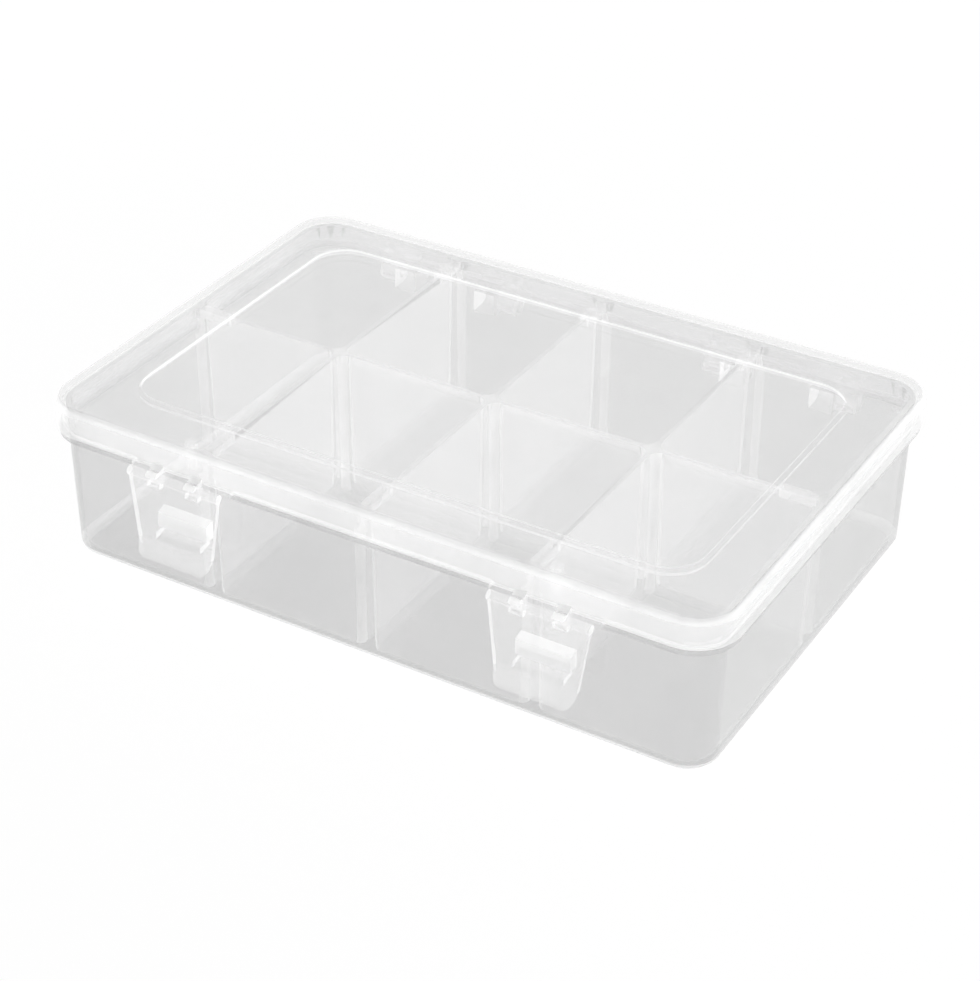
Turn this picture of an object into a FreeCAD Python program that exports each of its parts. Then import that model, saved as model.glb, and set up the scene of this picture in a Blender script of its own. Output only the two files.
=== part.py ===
import FreeCAD, Part
import math
import os

import Sketcher
from FreeCAD import Vector

os.makedirs("parts", exist_ok=True)
doc = FreeCAD.newDocument("storage_box")

# Driving sizes in millimetres and degrees.
# X runs along the front, Y runs to the hinges, Z runs up, the origin is the centre of the underside.
driving = {
    # Lid
    "lid_length": 200.0,
    "lid_width": 133.3,
    "box_height": 47.7,
    "lid_corner_radius": 12.5,
    "lid_thickness": 1.4,
    "lid_edge_radius": 1.8,
    "hollow_edge_radius": 1.0,
    "skirt_height": 8.6,
    "skirt_thickness": 1.5,
    "skirt_edge_radius": 0.5,
    "panel_inset": 17.1,
    "panel_depth": 0.8,
    "panel_corner_radius": 10.0,
    "panel_step_wall": 1.0,
    "panel_edge_radius": 0.4,
    "pin_radius": 1.6,
    "pin_length": 8.0,
    "pin_gap": 0.5,
    "pin_end_radius": 0.8,
    # Tray
    "skirt_gap": 1.3,
    "rim_gap": 0.3,
    "wall_draft": 1.0,
    "tray_wall": 1.5,
    "tray_floor": 1.9,
    "root_share": 0.35,
    "base_edge_radius": 3.0,
    "flange_drop": 0.5,
    "flange_thickness": 1.2,
    "flange_setback": 0.6,
    "flange_notch_half": 15.5,
    # Compartments and dividers
    "cavity_draft": 0.75,
    "divider_pitch": 48.2,
    "divider_thickness": 1.3,
    "compartment_radius": 3.0,
    "floor_edge_radius": 1.5,
    "panel_clearance": 0.5,
    "shoulder_thickness": 2.8,
    "shoulder_depth": 2.5,
    # Latches and hinges share these stations along the box
    "station_offset": 53.85,
    "running_clearance": 0.05,
    # Latches
    "latch_reach": 2.05,
    "latch_drop": 1.2,
    "rod_radius": 1.3,
    "clip_wall": 0.95,
    "clip_width": 3.2,
    "clip_spacing": 12.0,
    "clip_mouth": 2.1,
    "clip_web_rise": 1.8,
    "latch_width": 28.2,
    "latch_bend_width": 23.2,
    "latch_foot_width": 21.0,
    "latch_thickness": 1.5,
    "latch_lean": 0.8,
    "latch_bend_drop": 18.9,
    "lip_drop": 4.7,
    "lip_flare": 2.1,
    "window_clearance": 0.35,
    "bend_radius": 3.0,
    "foot_radius": 2.5,
    "catch_width": 15.4,
    "catch_height": 5.5,
    "catch_slope": 0.9,
    "catch_reach": 3.5,
    "catch_drop": 16.7,
    "hook_gap": 0.5,
    "hook_width": 14.2,
    "hook_height": 2.2,
    "hook_grip": 2.0,
    # Hinges
    "hinge_reach": 1.15,
    "hinge_drop": 6.0,
    "eye_radius": 3.3,
    "trunnion_radius": 1.5,
    "hinge_half_length": 23.0,
    "ear_width": 5.4,
    "ear_gap": 0.4,
    "trunnion_setback": 0.5,
    "lug_width": 7.0,
    "eye_mouth": 2.4,
    "arm_gap": 0.1,
    "arm_thickness": 2.8,
    "hinge_flange_thickness": 1.5,
    "hinge_flange_reach": 3.8,
    "slot_length": 9.6,
    "slot_width": 2.4,
    "slot_margin": 2.6,
    "slot_setback": 0.3,
    "slot_corner": 0.6,
    # Overrun of cuts past the surface they start from
    "overrun": 5.0,
}

# Sizes that follow from the driving ones.
derived = {
    "half_length": "lid_length / 2",
    "half_width": "lid_width / 2",
    "skirt_bottom": "box_height - skirt_height",
    "lid_underside": "box_height - lid_thickness",
    "hollow_depth": "skirt_height - lid_thickness",
    "hollow_half_length": "half_length - skirt_thickness",
    "hollow_half_width": "half_width - skirt_thickness",
    "hollow_corner": "lid_corner_radius - skirt_thickness",
    "panel_half_length": "half_length - panel_inset",
    "panel_half_width": "half_width - panel_inset",
    "boss_half_length": "panel_half_length + panel_step_wall",
    "boss_half_width": "panel_half_width + panel_step_wall",
    "boss_corner": "panel_corner_radius + panel_step_wall",
    "rim_height": "lid_underside - rim_gap",
    "rim_half_length": "hollow_half_length - skirt_gap",
    "rim_half_width": "hollow_half_width - skirt_gap",
    "rim_corner": "hollow_corner - skirt_gap",
    "base_half_width": "rim_half_width - rim_height * tan(wall_draft)",
    "wall_root": "base_half_width - tray_wall * root_share",
    "flange_bottom": "skirt_bottom - flange_drop - flange_thickness",
    "flange_half_length": "half_length - flange_setback",
    "flange_half_width": "half_width - flange_setback",
    "flange_corner": "lid_corner_radius - flange_setback",
    "notch_near": "rim_half_width - tray_wall",
    "notch_far": "half_width + overrun",
    "notch_low": "station_offset - flange_notch_half",
    "notch_high": "station_offset + flange_notch_half",
    "cavity_depth": "rim_height - tray_floor",
    "mouth_half_length": "rim_half_length - tray_wall",
    "mouth_half_width": "rim_half_width - tray_wall",
    "mouth_corner": "rim_corner - tray_wall",
    "divider_half": "divider_thickness / 2",
    "divider_near": "divider_pitch - divider_half",
    "divider_far": "divider_pitch + divider_half",
    "clear_half_length": "boss_half_length + panel_clearance",
    "clear_half_width": "boss_half_width + panel_clearance",
    "clear_corner": "boss_corner + panel_clearance",
    "shoulder_half": "shoulder_thickness / 2",
    "shoulder_near": "divider_pitch - shoulder_half",
    "shoulder_far": "divider_pitch + shoulder_half",
    "shoulder_end_length": "mouth_half_length + tray_wall / 2",
    "shoulder_end_width": "mouth_half_width + tray_wall / 2",
    "pin_offset": "mouth_half_width - pin_gap - pin_radius",
    "pin_foot": "lid_underside - pin_length",
    "latch_axis_out": "half_width + latch_reach",
    "latch_axis_height": "skirt_bottom - latch_drop",
    "clip_hole_radius": "rod_radius + running_clearance",
    "clip_radius": "clip_hole_radius + clip_wall",
    "clip_inner_start": "station_offset - clip_spacing / 2 - clip_width / 2",
    "clip_outer_start": "station_offset + clip_spacing / 2 - clip_width / 2",
    "clip_top": "latch_axis_height + clip_radius",
    "clip_mouth_low": "latch_axis_height - clip_mouth / 2",
    "clip_mouth_high": "latch_axis_height + clip_mouth / 2",
    "clip_mouth_out": "latch_axis_out + clip_radius + overrun",
    "clip_web_inside": "half_width - skirt_thickness / 2",
    "clip_web_top": "skirt_bottom + clip_web_rise",
    "half_plate": "latch_thickness / 2",
    "plate_top_out": "latch_axis_out + half_plate",
    "plate_top_in": "latch_axis_out - half_plate",
    "bend_out": "plate_top_out + latch_lean",
    "bend_in": "plate_top_in + latch_lean",
    "bend_height": "latch_axis_height - latch_bend_drop",
    "foot_out": "bend_out + lip_flare",
    "foot_in": "bend_in + lip_flare",
    "foot_height": "bend_height - lip_drop",
    "latch_half": "latch_width / 2",
    "latch_bend_half": "latch_bend_width / 2",
    "latch_foot_half": "latch_foot_width / 2",
    "latch_clear_half": "latch_half + overrun",
    "latch_clear_top": "latch_axis_height + overrun",
    "latch_clear_foot": "foot_height - overrun",
    "window_near": "clip_spacing / 2 - clip_width / 2 - window_clearance",
    "window_far": "clip_spacing / 2 + clip_width / 2 + window_clearance",
    "window_foot": "latch_axis_height - clip_radius - window_clearance",
    "latch_cut": "2 * (foot_out + overrun)",
    "catch_start": "station_offset - catch_width / 2",
    "catch_front": "base_half_width + catch_reach",
    "catch_level": "latch_axis_height - catch_drop",
    "catch_top": "catch_level + catch_height",
    "catch_nose": "catch_top - catch_slope",
    "hook_top": "catch_level - hook_gap",
    "hook_foot": "hook_top - hook_height",
    "hook_tip": "catch_front - hook_grip",
    "hook_nose": "hook_foot + hook_height / 2",
    "hook_root": "plate_top_out + latch_lean * (latch_axis_height - hook_top) / latch_bend_drop - half_plate",
    "hinge_axis_back": "half_width + hinge_reach",
    "hinge_axis_height": "skirt_bottom - hinge_drop",
    "eye_hole_radius": "trunnion_radius + running_clearance",
    "eye_top": "hinge_axis_height + eye_radius",
    "eye_foot": "hinge_axis_height - eye_radius",
    "eye_mouth_half": "eye_mouth / 2",
    "eye_mouth_near": "hinge_axis_back - eye_mouth_half",
    "eye_mouth_far": "hinge_axis_back + eye_mouth_half",
    "eye_mouth_foot": "eye_foot - overrun",
    "arm_near": "half_width + arm_gap",
    "arm_far": "arm_near + arm_thickness",
    "hinge_flange_far": "half_width + hinge_flange_reach",
    "hinge_flange_near": "half_width - skirt_thickness / 2",
    "hinge_flange_low": "station_offset - hinge_half_length",
    "hinge_flange_high": "station_offset + hinge_half_length",
    "slot_near": "half_width + slot_setback",
    "slot_far": "slot_near + slot_width",
    "slot_outer_high": "hinge_flange_high - slot_margin",
    "slot_outer_low": "slot_outer_high - slot_length",
    "slot_inner_low": "hinge_flange_low + slot_margin",
    "slot_inner_high": "slot_inner_low + slot_length",
    "ear_inner_start": "hinge_flange_low",
    "ear_outer_start": "hinge_flange_high - ear_width",
    "lug_inner_start": "hinge_flange_low + ear_width + ear_gap",
    "lug_outer_start": "hinge_flange_high - ear_width - ear_gap - lug_width",
    "trunnion_length": "lug_width + ear_gap + ear_width - trunnion_setback",
    "trunnion_inner_start": "hinge_flange_low + trunnion_setback",
}

dims = doc.addObject("Spreadsheet::Sheet", "dims")
row = 0
for name, number in driving.items():
    row += 1
    dims.set("A" + str(row), name)
    dims.set("B" + str(row), str(number))
    dims.setAlias("B" + str(row), name)
for name, formula in derived.items():
    row += 1
    dims.set("A" + str(row), name)
    dims.set("B" + str(row), "=" + formula)
    dims.setAlias("B" + str(row), name)
doc.recompute()

# Distance within which an edge counts as lying on a plane.
near = 0.001


def size(name):
    """Number in a named cell, with an optional leading minus sign."""
    if name.startswith("-"):
        return -dims.get(name[1:])
    return dims.get(name)


def cell(name):
    """Expression for a named cell, with an optional leading minus sign."""
    if name.startswith("-"):
        return "-dims." + name[1:]
    return "dims." + name


def new_body(name):
    body = doc.addObject("PartDesign::Body", name)
    body.Label = name
    return body


def plane(body, role):
    return [item for item in body.Origin.OriginFeatures if item.Role == role][0]


def new_sketch(body, name, role, offset=None):
    """Sketch on one of the body's origin planes, moved along the plane's normal by a named size."""
    sketch = body.newObject("Sketcher::SketchObject", name)
    sketch.AttachmentSupport = [(plane(body, role), "")]
    sketch.MapMode = "FlatFace"
    if offset:
        sketch.setExpression("AttachmentOffset.Base.z", cell(offset))
    return sketch


def bind(sketch, kind, *ends, to):
    """Add a sized constraint and tie it to a named cell."""
    index = sketch.addConstraint(Sketcher.Constraint(kind, *ends, size(to)))
    sketch.setExpression("Constraints[" + str(index) + "]", cell(to))


def place_point(sketch, item, point, x, y):
    """Fix a point of a sketch item; a coordinate of None is zero."""
    for kind, axis, name in (("DistanceX", -2, x), ("DistanceY", -1, y)):
        if name is None:
            sketch.addConstraint(Sketcher.Constraint("PointOnObject", item, point, axis))
        else:
            bind(sketch, kind, -1, 1, item, point, to=name)


def polygon(sketch, corners):
    """Closed outline through corners given by named sizes."""
    first = sketch.GeometryCount
    points = [Vector(size(x) if x else 0, size(y) if y else 0, 0) for x, y in corners]
    followers = points[1:] + points[:1]
    for start, end in zip(points, followers):
        sketch.addGeometry(Part.LineSegment(start, end), False)
    for index in range(len(points)):
        follower = first + (index + 1) % len(points)
        sketch.addConstraint(Sketcher.Constraint("Coincident", first + index, 2, follower, 1))
    for index, (x, y) in enumerate(corners):
        place_point(sketch, first + index, 1, x, y)


def rectangle(sketch, left, right, low, high):
    polygon(sketch, [(left, low), (right, low), (right, high), (left, high)])


def rounded_rectangle(sketch, left, right, low, high, radii):
    """Rectangle with a radius for each corner, from low left round to high left."""
    first = sketch.GeometryCount
    x0, x1, y0, y1 = size(left), size(right), size(low), size(high)
    r0, r1, r2, r3 = [size(radius) for radius in radii]
    up = Vector(0, 0, 1)
    quarter = math.pi / 2
    corners = [
        (Vector(x1 - r1, y0 + r1, 0), r1, -quarter),
        (Vector(x1 - r2, y1 - r2, 0), r2, 0),
        (Vector(x0 + r3, y1 - r3, 0), r3, quarter),
        (Vector(x0 + r0, y0 + r0, 0), r0, math.pi),
    ]
    sides = [
        (Vector(x0 + r0, y0, 0), Vector(x1 - r1, y0, 0)),
        (Vector(x1, y0 + r1, 0), Vector(x1, y1 - r2, 0)),
        (Vector(x1 - r2, y1, 0), Vector(x0 + r3, y1, 0)),
        (Vector(x0, y1 - r3, 0), Vector(x0, y0 + r0, 0)),
    ]
    lines = []
    arcs = []
    for (start, end), (centre, radius, angle) in zip(sides, corners):
        lines.append(sketch.addGeometry(Part.LineSegment(start, end), False))
        circle = Part.Circle(centre, up, radius)
        arcs.append(sketch.addGeometry(Part.ArcOfCircle(circle, angle, angle + quarter), False))
    for index in range(4):
        follower = lines[(index + 1) % 4]
        sketch.addConstraint(Sketcher.Constraint("Tangent", lines[index], 2, arcs[index], 1))
        sketch.addConstraint(Sketcher.Constraint("Tangent", arcs[index], 2, follower, 1))
    for line, kind in zip(lines, ("Horizontal", "Vertical", "Horizontal", "Vertical")):
        sketch.addConstraint(Sketcher.Constraint(kind, line))
    bind(sketch, "DistanceY", -1, 1, lines[0], 1, to=low)
    bind(sketch, "DistanceX", -1, 1, lines[1], 1, to=right)
    bind(sketch, "DistanceY", -1, 1, lines[2], 1, to=high)
    bind(sketch, "DistanceX", -1, 1, lines[3], 1, to=left)
    for arc, radius in zip(arcs, (radii[1], radii[2], radii[3], radii[0])):
        bind(sketch, "Radius", arc, to=radius)


def centred_rectangle(sketch, half_length, half_width, radius):
    rounded_rectangle(sketch, "-" + half_length, half_length, "-" + half_width, half_width, [radius] * 4)


def circle(sketch, x, y, radius):
    item = sketch.addGeometry(Part.Circle(Vector(size(x), size(y), 0), Vector(0, 0, 1), size(radius)), False)
    place_point(sketch, item, 3, x, y)
    bind(sketch, "Radius", item, to=radius)


def extrude(body, kind, name, sketch, length, back=False, both=False, taper=None):
    """Pad or pocket of a sketch over a named length."""
    feature = body.newObject("PartDesign::" + kind, name)
    feature.Profile = sketch
    feature.setExpression("Length", cell(length))
    feature.Reversed = back
    if both:
        feature.SideType = "Symmetric"
    if taper:
        feature.setExpression("TaperAngle", cell(taper))
    sketch.Visibility = False
    return feature


def mirror(body, name, originals, roles):
    """Repeat features across one or two origin planes."""
    group = body.newObject("PartDesign::MultiTransform", name)
    group.Originals = originals
    steps = []
    for role in roles:
        step = doc.addObject("PartDesign::Mirrored", name + "_" + role)
        step.MirrorPlane = (plane(body, role), [""])
        steps.append(step)
    group.Transformations = steps
    body.Tip = group
    return group


def round_edges(body, name, base, radius, wanted):
    """Fillet the edges of the base feature that the test picks."""
    doc.recompute()
    picked = ["Edge" + str(number) for number, edge in enumerate(base.Shape.Edges, 1) if wanted(edge)]
    fillet = body.newObject("PartDesign::Fillet", name)
    fillet.Base = (base, picked)
    fillet.setExpression("Radius", cell(radius))
    return fillet


def level_at(height=None):
    """Test for edges that lie in the level plane at a named height, or at zero."""
    level = size(height) if height else 0

    def wanted(edge):
        box = edge.BoundBox
        return abs(box.ZMin - level) < near and abs(box.ZMax - level) < near

    return wanted


def make_tray():
    body = new_body("tray")

    # Flange round the outside under the skirt, cut back where the latches hang.
    sketch = new_sketch(body, "flange_outline", "XY_Plane", "flange_bottom")
    centred_rectangle(sketch, "flange_half_length", "flange_half_width", "flange_corner")
    extrude(body, "Pad", "flange", sketch, "flange_thickness")
    sketch = new_sketch(body, "notch_outline", "XY_Plane", "flange_bottom")
    rectangle(sketch, "notch_low", "notch_high", "-notch_far", "-notch_near")
    rectangle(sketch, "-notch_high", "-notch_low", "-notch_far", "-notch_near")
    extrude(body, "Pocket", "flange_notches", sketch, "flange_thickness", back=True)

    # Outside of the tray, narrowing from the rim to the floor.
    sketch = new_sketch(body, "rim_outline", "XY_Plane", "rim_height")
    centred_rectangle(sketch, "rim_half_length", "rim_half_width", "rim_corner")
    block = extrude(body, "Pad", "block", sketch, "rim_height", back=True, taper="-wall_draft")
    round_edges(body, "base_rounding", block, "base_edge_radius", level_at())

    # Inner and outer compartment of one quarter, then the other three quarters.
    sketch = new_sketch(body, "inner_mouth", "XY_Plane", "rim_height")
    rounded_rectangle(
        sketch, "divider_half", "divider_near", "divider_half", "mouth_half_width", ["compartment_radius"] * 4
    )
    inner = extrude(body, "Pocket", "inner_compartment", sketch, "cavity_depth", taper="-cavity_draft")
    sketch = new_sketch(body, "outer_mouth", "XY_Plane", "rim_height")
    radii = ["compartment_radius", "compartment_radius", "mouth_corner", "compartment_radius"]
    rounded_rectangle(sketch, "divider_far", "mouth_half_length", "divider_half", "mouth_half_width", radii)
    outer = extrude(body, "Pocket", "outer_compartment", sketch, "cavity_depth", taper="-cavity_draft")
    quarters = mirror(body, "compartments", [inner, outer], ("YZ_Plane", "XZ_Plane"))
    round_edges(body, "floor_rounding", quarters, "floor_edge_radius", level_at("tray_floor"))

    # Divider tops step down under the lid's panel and are thicker outside it.
    sketch = new_sketch(body, "clearance_outline", "XY_Plane", "rim_height")
    centred_rectangle(sketch, "clear_half_length", "clear_half_width", "clear_corner")
    extrude(body, "Pocket", "panel_clearance_cut", sketch, "panel_depth")
    sketch = new_sketch(body, "shoulder_outline", "XY_Plane", "rim_height")
    spans = (
        ("-shoulder_far", "-shoulder_near"),
        ("-shoulder_half", "shoulder_half"),
        ("shoulder_near", "shoulder_far"),
    )
    for left, right in spans:
        rectangle(sketch, left, right, "-shoulder_end_width", "-clear_half_width")
        rectangle(sketch, left, right, "clear_half_width", "shoulder_end_width")
    rectangle(sketch, "-shoulder_end_length", "-clear_half_length", "-shoulder_half", "shoulder_half")
    rectangle(sketch, "clear_half_length", "shoulder_end_length", "-shoulder_half", "shoulder_half")
    extrude(body, "Pad", "shoulders", sketch, "shoulder_depth", back=True)

    # Ledge on the front wall for each latch hook.
    sketch = new_sketch(body, "catch_outline", "YZ_Plane", "catch_start")
    polygon(
        sketch,
        [
            ("-wall_root", "catch_level"),
            ("-catch_front", "catch_level"),
            ("-catch_front", "catch_nose"),
            ("-wall_root", "catch_top"),
        ],
    )
    catch = extrude(body, "Pad", "catch", sketch, "catch_width")

    # Hinge lugs on the back wall, each with a trunnion that runs in the lid's ear.
    repeated = [catch]
    lugs = (
        ("inner", "lug_inner_start", "trunnion_inner_start"),
        ("outer", "lug_outer_start", "lug_outer_start"),
    )
    for side, lug_start, trunnion_start in lugs:
        sketch = new_sketch(body, side + "_lug_outline", "YZ_Plane", lug_start)
        rectangle(sketch, "wall_root", "hinge_axis_back", "eye_foot", "eye_top")
        repeated.append(extrude(body, "Pad", side + "_lug", sketch, "lug_width"))
        sketch = new_sketch(body, side + "_lug_end_outline", "YZ_Plane", lug_start)
        circle(sketch, "hinge_axis_back", "hinge_axis_height", "eye_radius")
        repeated.append(extrude(body, "Pad", side + "_lug_end", sketch, "lug_width"))
        sketch = new_sketch(body, side + "_trunnion_outline", "YZ_Plane", trunnion_start)
        circle(sketch, "hinge_axis_back", "hinge_axis_height", "trunnion_radius")
        repeated.append(extrude(body, "Pad", side + "_trunnion", sketch, "trunnion_length"))
    mirror(body, "other_end", repeated, ("YZ_Plane",))
    return body


def make_lid():
    body = new_body("lid")

    # Plate and skirt.
    sketch = new_sketch(body, "lid_outline", "XY_Plane", "skirt_bottom")
    centred_rectangle(sketch, "half_length", "half_width", "lid_corner_radius")
    block = extrude(body, "Pad", "lid_block", sketch, "skirt_height")
    top = round_edges(body, "lid_edge_rounding", block, "lid_edge_radius", level_at("box_height"))
    round_edges(body, "skirt_edge_rounding", top, "skirt_edge_radius", level_at("skirt_bottom"))
    sketch = new_sketch(body, "hollow_outline", "XY_Plane", "skirt_bottom")
    centred_rectangle(sketch, "hollow_half_length", "hollow_half_width", "hollow_corner")
    hollow = extrude(body, "Pocket", "hollow", sketch, "hollow_depth", back=True)
    round_edges(body, "hollow_edge_rounding", hollow, "hollow_edge_radius", level_at("lid_underside"))

    # Sunken centre panel of even thickness.
    sketch = new_sketch(body, "boss_outline", "XY_Plane", "lid_underside")
    centred_rectangle(sketch, "boss_half_length", "boss_half_width", "boss_corner")
    extrude(body, "Pad", "panel_underside", sketch, "panel_depth", back=True)
    sketch = new_sketch(body, "panel_outline", "XY_Plane", "box_height")
    centred_rectangle(sketch, "panel_half_length", "panel_half_width", "panel_corner_radius")
    panel = extrude(body, "Pocket", "panel_recess", sketch, "panel_depth")

    def panel_edge(edge):
        return level_at("box_height")(edge) and edge.BoundBox.XMax < size("panel_half_length") + near

    round_edges(body, "panel_edge_rounding", panel, "panel_edge_radius", panel_edge)

    # Locating pin inside the front wall, at each latch.
    sketch = new_sketch(body, "pin_outline", "XY_Plane", "lid_underside")
    circle(sketch, "station_offset", "-pin_offset", "pin_radius")
    repeated = [extrude(body, "Pad", "pin", sketch, "pin_length", back=True)]

    # Two latch clips hanging from the skirt: web, round back, rod hole and snap mouth.
    for side, clip_start in (("inner", "clip_inner_start"), ("outer", "clip_outer_start")):
        sketch = new_sketch(body, side + "_clip_web_outline", "YZ_Plane", clip_start)
        polygon(
            sketch,
            [
                ("-clip_web_inside", "skirt_bottom"),
                ("-clip_web_inside", "clip_web_top"),
                ("-half_width", "clip_web_top"),
                ("-latch_axis_out", "clip_top"),
                ("-latch_axis_out", "latch_axis_height"),
            ],
        )
        repeated.append(extrude(body, "Pad", side + "_clip_web", sketch, "clip_width"))
        sketch = new_sketch(body, side + "_clip_back_outline", "YZ_Plane", clip_start)
        circle(sketch, "-latch_axis_out", "latch_axis_height", "clip_radius")
        repeated.append(extrude(body, "Pad", side + "_clip_back", sketch, "clip_width"))
        sketch = new_sketch(body, side + "_clip_hole_outline", "YZ_Plane", clip_start)
        circle(sketch, "-latch_axis_out", "latch_axis_height", "clip_hole_radius")
        repeated.append(extrude(body, "Pocket", side + "_clip_hole", sketch, "clip_width", back=True))
        sketch = new_sketch(body, side + "_clip_mouth_outline", "YZ_Plane", clip_start)
        rectangle(sketch, "-clip_mouth_out", "-latch_axis_out", "clip_mouth_low", "clip_mouth_high")
        repeated.append(extrude(body, "Pocket", side + "_clip_mouth_cut", sketch, "clip_width", back=True))

    # Hinge flange on the back of the skirt, with its two slots.
    sketch = new_sketch(body, "hinge_flange_outline", "XY_Plane", "skirt_bottom")
    rectangle(sketch, "hinge_flange_low", "hinge_flange_high", "hinge_flange_near", "hinge_flange_far")
    repeated.append(extrude(body, "Pad", "hinge_flange", sketch, "hinge_flange_thickness"))

    # Ears reaching down from the flange to the hinge axis, open below so they snap over the trunnions.
    for side, ear_start in (("inner", "ear_inner_start"), ("outer", "ear_outer_start")):
        sketch = new_sketch(body, side + "_arm_outline", "YZ_Plane", ear_start)
        rectangle(sketch, "arm_near", "arm_far", "hinge_axis_height", "skirt_bottom")
        repeated.append(extrude(body, "Pad", side + "_arm", sketch, "ear_width"))
        sketch = new_sketch(body, side + "_eye_outline", "YZ_Plane", ear_start)
        circle(sketch, "hinge_axis_back", "hinge_axis_height", "eye_radius")
        repeated.append(extrude(body, "Pad", side + "_eye", sketch, "ear_width"))
        sketch = new_sketch(body, side + "_eye_hole_outline", "YZ_Plane", ear_start)
        circle(sketch, "hinge_axis_back", "hinge_axis_height", "eye_hole_radius")
        repeated.append(extrude(body, "Pocket", side + "_eye_hole", sketch, "ear_width", back=True))
        sketch = new_sketch(body, side + "_eye_mouth_outline", "YZ_Plane", ear_start)
        rectangle(sketch, "eye_mouth_near", "eye_mouth_far", "eye_mouth_foot", "hinge_axis_height")
        repeated.append(extrude(body, "Pocket", side + "_eye_mouth_cut", sketch, "ear_width", back=True))

    sketch = new_sketch(body, "slot_outline", "XY_Plane", "skirt_bottom")
    radii = ["slot_corner"] * 4
    rounded_rectangle(sketch, "slot_inner_low", "slot_inner_high", "slot_near", "slot_far", radii)
    rounded_rectangle(sketch, "slot_outer_low", "slot_outer_high", "slot_near", "slot_far", radii)
    repeated.append(extrude(body, "Pocket", "slots", sketch, "hinge_flange_thickness", back=True))
    both_ends = mirror(body, "other_end", repeated, ("YZ_Plane",))
    round_edges(body, "pin_rounding", both_ends, "pin_end_radius", level_at("pin_foot"))
    return body


def make_latch(name, station):
    body = new_body(name)
    body.setExpression("Placement.Base.x", cell(station))

    # Plate hanging from the rod, bent outward to a finger lip.
    sketch = new_sketch(body, "plate_outline", "YZ_Plane")
    polygon(
        sketch,
        [
            ("-plate_top_out", "latch_axis_height"),
            ("-bend_out", "bend_height"),
            ("-foot_out", "foot_height"),
            ("-foot_in", "foot_height"),
            ("-bend_in", "bend_height"),
            ("-plate_top_in", "latch_axis_height"),
        ],
    )
    plate = extrude(body, "Pad", "plate", sketch, "latch_width", both=True)
    round_edges(body, "bend_rounding", plate, "bend_radius", level_at("bend_height"))

    # Sides narrow from the rod to the lip, and two windows leave room for the clips.
    sketch = new_sketch(body, "side_trim_outline", "XZ_Plane")
    for sign in ("", "-"):
        polygon(
            sketch,
            [
                (sign + "latch_half", "latch_axis_height"),
                (sign + "latch_bend_half", "bend_height"),
                (sign + "latch_foot_half", "foot_height"),
                (sign + "latch_foot_half", "latch_clear_foot"),
                (sign + "latch_clear_half", "latch_clear_foot"),
                (sign + "latch_clear_half", "latch_axis_height"),
            ],
        )
    trim = extrude(body, "Pocket", "side_trim", sketch, "latch_cut", both=True)

    def foot_corner(edge):
        box = edge.BoundBox
        return level_at("foot_height")(edge) and box.XLength < near

    round_edges(body, "foot_rounding", trim, "foot_radius", foot_corner)
    sketch = new_sketch(body, "window_outline", "XZ_Plane")
    rectangle(sketch, "-window_far", "-window_near", "window_foot", "latch_clear_top")
    rectangle(sketch, "window_near", "window_far", "window_foot", "latch_clear_top")
    extrude(body, "Pocket", "windows", sketch, "latch_cut", both=True)

    # Rod that turns in the lid's clips.
    sketch = new_sketch(body, "rod_outline", "YZ_Plane")
    circle(sketch, "-latch_axis_out", "latch_axis_height", "rod_radius")
    extrude(body, "Pad", "rod", sketch, "latch_width", both=True)

    # Hook that grips under the tray's ledge.
    sketch = new_sketch(body, "hook_outline", "YZ_Plane")
    polygon(
        sketch,
        [
            ("-hook_root", "hook_foot"),
            ("-hook_root", "hook_top"),
            ("-hook_tip", "hook_top"),
            ("-hook_tip", "hook_nose"),
        ],
    )
    extrude(body, "Pad", "hook", sketch, "hook_width", both=True)
    return body


bodies = [
    make_tray(),
    make_lid(),
    make_latch("latch_left", "-station_offset"),
    make_latch("latch_right", "station_offset"),
]
doc.recompute()

for item in doc.Objects:
    if "Invalid" in item.State or "Error" in item.State:
        raise RuntimeError(item.Name + " does not build")
for body in bodies:
    if body.Shape.isNull() or not body.Shape.isValid() or len(body.Shape.Solids) != 1:
        raise RuntimeError(body.Label + " is not one valid solid")
    body.Shape.exportStep("parts/" + body.Label + ".step")
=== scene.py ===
import math

import bmesh
import bpy
from mathutils import Matrix, Vector
from mathutils.bvhtree import BVHTree


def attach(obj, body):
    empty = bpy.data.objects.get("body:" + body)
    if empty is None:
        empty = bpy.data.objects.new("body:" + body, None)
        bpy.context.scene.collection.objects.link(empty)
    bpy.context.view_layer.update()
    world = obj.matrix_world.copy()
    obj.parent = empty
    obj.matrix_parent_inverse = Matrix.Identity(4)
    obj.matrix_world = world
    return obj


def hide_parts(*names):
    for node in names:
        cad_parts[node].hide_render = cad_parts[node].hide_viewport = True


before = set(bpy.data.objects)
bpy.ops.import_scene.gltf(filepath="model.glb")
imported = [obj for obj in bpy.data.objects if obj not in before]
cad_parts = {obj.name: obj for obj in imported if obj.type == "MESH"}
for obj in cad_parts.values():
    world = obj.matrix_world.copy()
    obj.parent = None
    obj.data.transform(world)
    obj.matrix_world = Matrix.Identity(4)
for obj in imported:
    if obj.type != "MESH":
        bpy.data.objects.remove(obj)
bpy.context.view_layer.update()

scene = bpy.context.scene
scene.view_settings.view_transform = "Standard"

# Light crosses many thin walls of the box before it reaches the floor or the sky.
scene.cycles.max_bounces = 24
scene.cycles.glossy_bounces = 8
scene.cycles.diffuse_bounces = 6
scene.cycles.transmission_bounces = 24
scene.cycles.transparent_max_bounces = 64

MILLIMETRE = 0.001

# Outlines of the lid and of the tray's rim, each as half length, half width and corner radius.
LID_OUTLINE = (100.0 * MILLIMETRE, 66.65 * MILLIMETRE, 12.5 * MILLIMETRE)
TRAY_OUTLINE = (97.2 * MILLIMETRE, 63.85 * MILLIMETRE, 9.7 * MILLIMETRE)

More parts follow.
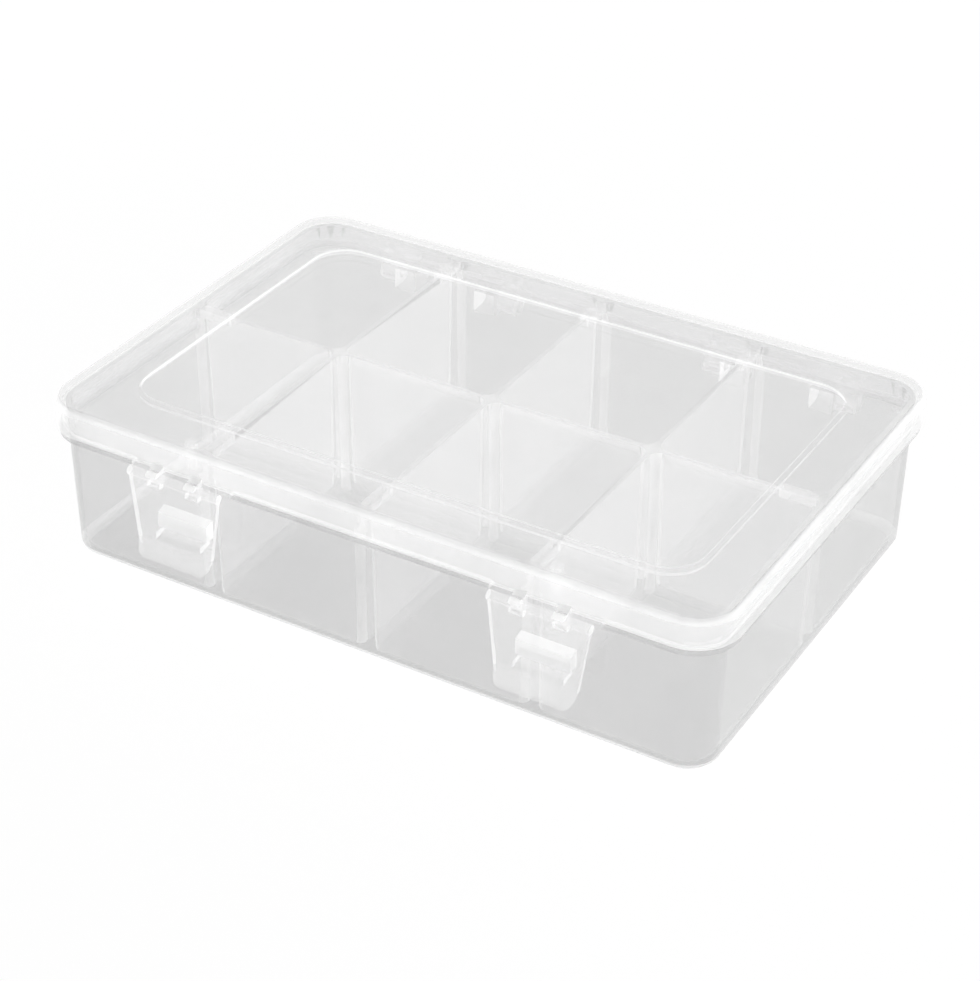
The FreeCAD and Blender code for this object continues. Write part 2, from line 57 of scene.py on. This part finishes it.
# Heights on the closed box, and the width of the band along the rims that is milkier.
SKIRT_BOTTOM = 39.0 * MILLIMETRE
FLANGE_TOP = 38.6 * MILLIMETRE
FLOOR_TOP = 2.0 * MILLIMETRE
FLOOR_ROUNDING_TOP = 3.6 * MILLIMETRE
LATCH_BEND = 19.0 * MILLIMETRE
RIM_BAND = 2.2 * MILLIMETRE

# Share of light that one face of a plain wall scatters, by place on the box.
FLOOR_MILK = 0.05
WALL_MILK = 0.08
DIVIDER_MILK = 0.16
LID_MILK = 0.10
LATCH_MILK = 0.10
LIP_MILK = 0.18
RIM_MILK = 0.15
ROOT_MILK = 0.36
EDGE_MILK = 0.32

# Plastic deeper than a plain wall turns milkier over a few millimetres, up to a limit.
WALL_DEPTH = 1.6 * MILLIMETRE
MILK_DEPTH = 2 * MILLIMETRE
MOST_MILK = 0.38

# Colour of the scattered light, and tones of the light that passes through a face or comes from a lamp. The
# grey tone is painted shade: it darkens what is seen through the box's outer faces, while lamp light passes
# them almost freely.
MILK_COLOUR = "#FEFEFE"
INSIDE_TONE = "#FFFFFF"
PAINTED_SHADE_TONE = "#DFDFDF"
# The lid's top takes only this share of the painted shade, so it reads lighter, as if lit from above.
LID_PAINTED_SHADE_SHARE = 0.5
LAMP_TONE = "#FCFCFC"

# Sizes of the patterns in the plastic.
CLOUD_SIZE = 18 * MILLIMETRE
RIPPLE_SIZE = 2.5 * MILLIMETRE
RIPPLE_HEIGHT = 0.05 * MILLIMETRE

# How the copies of the CAD meshes are merged, smoothed and measured.
MERGE_DISTANCE = 0.002 * MILLIMETRE
SHARP_ANGLE = math.radians(32)
RAY_START = 0.004 * MILLIMETRE
FLAT_NORMAL = 0.95

# Share of plain white in the floor as seen, and strengths of the sky as a light and as seen.
FLOOR_WHITENESS = 0.9
SKY_LIGHT = 0.3
SKY_SEEN = 1.0
FLOOR_HALF_SIZE = 6.0
FLOOR_DROP = 0.2 * MILLIMETRE
LAMP_TARGET = (0, 0, 0.02)


def linear(code):
    """Linear colour of an sRGB hex code."""
    shares = [int(code[start : start + 2], 16) / 255 for start in (1, 3, 5)]
    curved = [((share + 0.055) / 1.055) ** 2.4 for share in shares]
    mixed = [share / 12.92 if share <= 0.04045 else bent for share, bent in zip(shares, curved)]
    return mixed + [1.0]


def add_node(tree, kind, settings, links):
    """Node with its properties and socket values set and its inputs linked."""
    node = tree.nodes.new(kind)
    for name, value in settings.items():
        if isinstance(name, int) or name in node.inputs:
            node.inputs[name].default_value = value
        else:
            setattr(node, name, value)
    for name, socket in links.items():
        tree.links.new(socket, node.inputs[name])
    return node


def empty_material(name):
    material = bpy.data.materials.new(name)
    material.use_nodes = True
    material.node_tree.nodes.clear()
    return material


def clear_polypropylene():
    """Injection moulded clear polypropylene, a milky see-through plastic that is whiter where it is thick.

    The mesh keeps how milky each face is, worked out from its place and the depth of plastic under it.
    Slow clouds of haze come from the flow in the mould, and a fine ripple in the gloss from the mould's
    surface. Lamps shine through the plastic almost freely, so that the inside of the box is as light as the
    room around it.
    The mesh also keeps each face's share of painted shade, a grey tone on what is seen through the outer
    faces, which lamp light does not take.
    """
    material = empty_material("clear_polypropylene_moulded")
    tree = material.node_tree
    place = add_node(tree, "ShaderNodeTexCoord", {}, {})
    clouds = add_node(
        tree,
        "ShaderNodeTexNoise",
        {"Scale": 1 / CLOUD_SIZE, "Detail": 3.0, "Roughness": 0.55},
        {"Vector": place.outputs["Object"]},
    )
    ripples = add_node(
        tree,
        "ShaderNodeTexNoise",
        {"Scale": 1 / RIPPLE_SIZE, "Detail": 2.0, "Roughness": 0.5},
        {"Vector": place.outputs["Object"]},
    )
    ripple = add_node(
        tree,
        "ShaderNodeBump",
        {"Strength": 0.07, "Distance": RIPPLE_HEIGHT},
        {"Height": ripples.outputs["Fac"]},
    )
    milkiness = add_node(tree, "ShaderNodeAttribute", {"attribute_name": "milkiness"}, {})
    cloudiness = add_node(
        tree,
        "ShaderNodeMapRange",
        {"From Min": 0.3, "From Max": 0.7, "To Min": 0.85, "To Max": 1.15},
        {"Value": clouds.outputs["Fac"]},
    )
    cover = add_node(
        tree,
        "ShaderNodeMath",
        {"operation": "MULTIPLY", "use_clamp": True},
        {0: milkiness.outputs["Fac"], 1: cloudiness.outputs["Result"]},
    )
    gloss_roughness = add_node(
        tree,
        "ShaderNodeMapRange",
        {"From Min": 0.3, "From Max": 0.7, "To Min": 0.08, "To Max": 0.16},
        {"Value": clouds.outputs["Fac"]},
    )
    facing = add_node(tree, "ShaderNodeLayerWeight", {"Blend": 0.5}, {"Normal": ripple.outputs["Normal"]})
    grazing = add_node(tree, "ShaderNodeMath", {"operation": "POWER", 1: 5.0}, {0: facing.outputs["Facing"]})
    mirror = add_node(
        tree, "ShaderNodeMapRange", {"To Min": 0.04, "To Max": 1.0}, {"Value": grazing.outputs["Value"]}
    )
    # Painted shade: outer faces tint what is seen through them grey, standing in for shade.
    shaded_outside = add_node(tree, "ShaderNodeAttribute", {"attribute_name": "shaded_outside"}, {})
    shade_tone = add_node(
        tree,
        "ShaderNodeMix",
        {"data_type": "RGBA", 6: linear(INSIDE_TONE), 7: linear(PAINTED_SHADE_TONE)},
        {0: shaded_outside.outputs["Fac"]},
    )
    see_through = add_node(tree, "ShaderNodeBsdfTransparent", {}, {"Color": shade_tone.outputs[2]})
    lit_side = add_node(tree, "ShaderNodeBsdfDiffuse", {"Color": linear(MILK_COLOUR)}, {})
    far_side = add_node(tree, "ShaderNodeBsdfTranslucent", {"Color": linear(MILK_COLOUR)}, {})
    milk = add_node(
        tree, "ShaderNodeMixShader", {0: 0.5}, {1: lit_side.outputs["BSDF"], 2: far_side.outputs["BSDF"]}
    )
    body = add_node(
        tree,
        "ShaderNodeMixShader",
        {},
        {0: cover.outputs["Value"], 1: see_through.outputs["BSDF"], 2: milk.outputs["Shader"]},
    )
    gloss = add_node(
        tree,
        "ShaderNodeBsdfGlossy",
        {"Color": linear("#FFFFFF")},
        {"Roughness": gloss_roughness.outputs["Result"], "Normal": ripple.outputs["Normal"]},
    )
    skin = add_node(
        tree,
        "ShaderNodeMixShader",
        {},
        {0: mirror.outputs["Result"], 1: body.outputs["Shader"], 2: gloss.outputs["BSDF"]},
    )
    light = add_node(tree, "ShaderNodeLightPath", {}, {})
    lamp_through = add_node(tree, "ShaderNodeBsdfTransparent", {"Color": linear(LAMP_TONE)}, {})
    whole = add_node(
        tree,
        "ShaderNodeMixShader",
        {},
        {0: light.outputs["Is Shadow Ray"], 1: skin.outputs["Shader"], 2: lamp_through.outputs["BSDF"]},
    )
    add_node(tree, "ShaderNodeOutputMaterial", {}, {"Surface": whole.outputs["Shader"]})
    return material


plastic = clear_polypropylene()


def plastic_depth(tree, face):
    """Least depth of plastic under a face, from points spread over it."""
    middle = face.calc_center_median()
    depths = []
    for target in [middle] + [vertex.co for vertex in face.verts]:
        point = middle.lerp(target, 0.7) - face.normal * RAY_START
        hit = tree.ray_cast(point, -face.normal)
        depths.append(hit[3] if hit[3] is not None else 0.0)
    return min(depths)


def outline_distance(point, half_length, half_width, radius):
    """Level distance of a point from a rounded rectangle about the box's middle, below zero inside it."""
    along = abs(point.x) - (half_length - radius)
    across = abs(point.y) - (half_width - radius)
    return math.hypot(max(along, 0), max(across, 0)) + min(max(along, across), 0) - radius


def plain_milk(node_name, face, shaded_outside):
    """Share of light that a face scatters where the plastic is no deeper than a wall."""
    middle = face.calc_center_median()
    flat = abs(face.normal.z) > FLAT_NORMAL
    rounded = 0.15 < abs(face.normal.z) < FLAT_NORMAL
    if node_name == "tray":
        if middle.z > FLANGE_TOP and outline_distance(middle, *TRAY_OUTLINE) > -RIM_BAND:
            return RIM_MILK
        if flat and middle.z < FLOOR_TOP:
            return FLOOR_MILK
        if shaded_outside:
            return EDGE_MILK if rounded else WALL_MILK
        in_corner = (
            abs(middle.x) > TRAY_OUTLINE[0] - 2 * TRAY_OUTLINE[2]
            and abs(middle.y) > TRAY_OUTLINE[1] - 2 * TRAY_OUTLINE[2]
        )
        divider_root = min(abs(face.normal.x), abs(face.normal.y)) > 0.2 and not in_corner
        return ROOT_MILK if divider_root else DIVIDER_MILK
    if node_name == "lid":
        in_band = outline_distance(middle, *LID_OUTLINE) > -RIM_BAND and not flat
        if in_band and (middle.z > SKIRT_BOTTOM or middle.y > 0):
            return EDGE_MILK if rounded else RIM_MILK
        return LID_MILK
    return LIP_MILK if middle.z < LATCH_BEND else LATCH_MILK


def moulding(node_name):
    """Merged copy of a CAD solid that stands in for it, with flat broad faces and smooth roundings."""
    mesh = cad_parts[node_name].data.copy()
    mesh.materials.clear()
    shape = bmesh.new()
    shape.from_mesh(mesh)
    bmesh.ops.remove_doubles(shape, verts=shape.verts, dist=MERGE_DISTANCE)
    if node_name == "tray":
        everything = shape.verts[:] + shape.edges[:] + shape.faces[:]
        bmesh.ops.bisect_plane(shape, geom=everything, plane_co=(0, 0, FLANGE_TOP), plane_no=(0, 0, 1))
    for face in shape.faces:
        face.smooth = True
    for edge in shape.edges:
        edge.smooth = len(edge.link_faces) == 2 and edge.calc_face_angle(0) < SHARP_ANGLE
    shape.normal_update()
    milky = shape.loops.layers.float.new("milkiness")
    # Painted shade: the tray's outer walls and underside take the grey see-through tone in full.
    shaded_outside = shape.loops.layers.float.new("shaded_outside")
    # The lid's top takes half the painted shade, a painted lightening as if lit from above.
    shade_shares = {"lid": LID_PAINTED_SHADE_SHARE, "tray": 1.0}
    tree = BVHTree.FromBMesh(shape)
    for face in shape.faces:
        start = face.calc_center_median() + face.normal * RAY_START
        free = tree.ray_cast(start, face.normal)[0] is None
        shade_painted = free and (face.normal.z > 0.9 if node_name == "lid" else face.normal.z < 0.5)
        plain = plain_milk(node_name, face, shade_painted)
        extra = max(plastic_depth(tree, face) - WALL_DEPTH, 0)
        latch_clip = node_name == "lid" and start.y < -LID_OUTLINE[1] and start.z < SKIRT_BOTTOM
        floor_rounding = node_name == "tray" and start.z < FLOOR_ROUNDING_TOP and not shade_painted
        if latch_clip or floor_rounding:
            extra = 0
        cover = MOST_MILK - (MOST_MILK - plain) * math.exp(-extra / MILK_DEPTH)
        for corner in face.loops:
            corner[milky] = cover
            corner[shaded_outside] = shade_shares.get(node_name, 0.0) if shade_painted else 0.0
    shape.to_mesh(mesh)
    shape.free()
    piece = bpy.data.objects.new(node_name + "_moulding", mesh)
    scene.collection.objects.link(piece)
    mesh.materials.append(plastic)
    weighted = piece.modifiers.new("broad_faces_flat", "WEIGHTED_NORMAL")
    weighted.keep_sharp = True
    weighted.weight = 100
    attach(piece, node_name)
    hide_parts(node_name)


for node_name in ("tray", "lid", "latch_left", "latch_right"):
    moulding(node_name)

# Camera at the photograph's viewing angle.
camera_data = bpy.data.cameras.new("camera")
camera_data.sensor_width = 36
camera_data.lens = 90.574
camera_data.shift_x = 0.00774
camera_data.shift_y = -0.01783
camera_data.clip_start = 0.01
camera = bpy.data.objects.new("camera", camera_data)
across = Vector((0.85894, 0.51204, 0.00581))
upward = Vector((-0.27874, 0.45801, 0.84411))
backward = Vector((0.42956, -0.72666, 0.53613))
turn = Matrix((across, upward, backward)).transposed().to_4x4()
camera.matrix_world = Matrix.Translation((0.28461, -0.48599, 0.37959)) @ turn
scene.collection.objects.link(camera)
scene.camera = camera


def seen_rays(tree):
    """Socket that is one for rays that show the background, straight or by gloss or through plastic."""
    rays = add_node(tree, "ShaderNodeLightPath", {}, {})
    straight = add_node(
        tree,
        "ShaderNodeMath",
        {"operation": "ADD"},
        {0: rays.outputs["Is Camera Ray"], 1: rays.outputs["Is Glossy Ray"]},
    )
    either = add_node(
        tree,
        "ShaderNodeMath",
        {"operation": "ADD", "use_clamp": True},
        {0: straight.outputs["Value"], 1: rays.outputs["Is Transmission Ray"]},
    )
    return either.outputs["Value"]


# White floor that takes the box's soft shadow.
floor_material = empty_material("white_paper_sweep")
tree = floor_material.node_tree
paper = add_node(
    tree,
    "ShaderNodeBsdfPrincipled",
    {"Base Color": linear("#FFFFFF"), "Roughness": 0.9, "Specular IOR Level": 0.0},
    {},
)
white = add_node(tree, "ShaderNodeEmission", {"Color": linear("#FFFFFF"), "Strength": 1.0}, {})
whiteness = add_node(
    tree, "ShaderNodeMath", {"operation": "MULTIPLY", 1: FLOOR_WHITENESS}, {0: seen_rays(tree)}
)
sweep = add_node(
    tree,
    "ShaderNodeMixShader",
    {},
    {0: whiteness.outputs["Value"], 1: paper.outputs["BSDF"], 2: white.outputs["Emission"]},
)
add_node(tree, "ShaderNodeOutputMaterial", {}, {"Surface": sweep.outputs["Shader"]})
shape = bmesh.new()
bmesh.ops.create_grid(shape, x_segments=1, y_segments=1, size=FLOOR_HALF_SIZE)
floor_mesh = bpy.data.meshes.new("floor")
shape.to_mesh(floor_mesh)
shape.free()
floor_mesh.materials.append(floor_material)
floor = bpy.data.objects.new("floor", floor_mesh)
# A hair below the tray's underside, so that the two surfaces don't flicker through each other.
floor.location.z = -FLOOR_DROP
scene.collection.objects.link(floor)

# Even white sky.
world = bpy.data.worlds.new("studio")
scene.world = world
world.use_nodes = True
world.node_tree.nodes.clear()
tree = world.node_tree
dim_sky = add_node(tree, "ShaderNodeBackground", {"Color": linear("#FFFFFF"), "Strength": SKY_LIGHT}, {})
white_sky = add_node(tree, "ShaderNodeBackground", {"Color": linear("#FFFFFF"), "Strength": SKY_SEEN}, {})
sky = add_node(
    tree,
    "ShaderNodeMixShader",
    {},
    {0: seen_rays(tree), 1: dim_sky.outputs["Background"], 2: white_sky.outputs["Background"]},
)
add_node(tree, "ShaderNodeOutputWorld", {}, {"Surface": sky.outputs["Shader"]})


def soft_lamp(name, place, width, height, power):
    """Rectangular lamp aimed at the box."""
    data = bpy.data.lights.new(name, "AREA")
    data.shape = "RECTANGLE"
    data.size = width
    data.size_y = height
    data.energy = power
    lamp = bpy.data.objects.new(name, data)
    lamp.location = place
    lamp.rotation_euler = (Vector(LAMP_TARGET) - Vector(place)).to_track_quat("-Z", "Y").to_euler()
    # The white sky gives the gloss its light, so no lamp shows as a glare patch on the broad flat faces.
    lamp.visible_glossy = False
    scene.collection.objects.link(lamp)


soft_lamp("top_softbox", (0.1, -0.2, 1.3), 0.8, 0.8, 3.0)
soft_lamp("left_softbox", (-1.0, 0.45, 0.4), 0.8, 0.5, 6.5)
soft_lamp("back_softbox", (0.5, 1.0, 0.35), 0.8, 0.5, 7.5)
soft_lamp("right_softbox", (0.75, -0.3, 0.35), 0.5, 0.5, 3.4)
soft_lamp("front_softbox", (-0.95, -0.85, 0.2), 0.6, 0.35, 5.5)
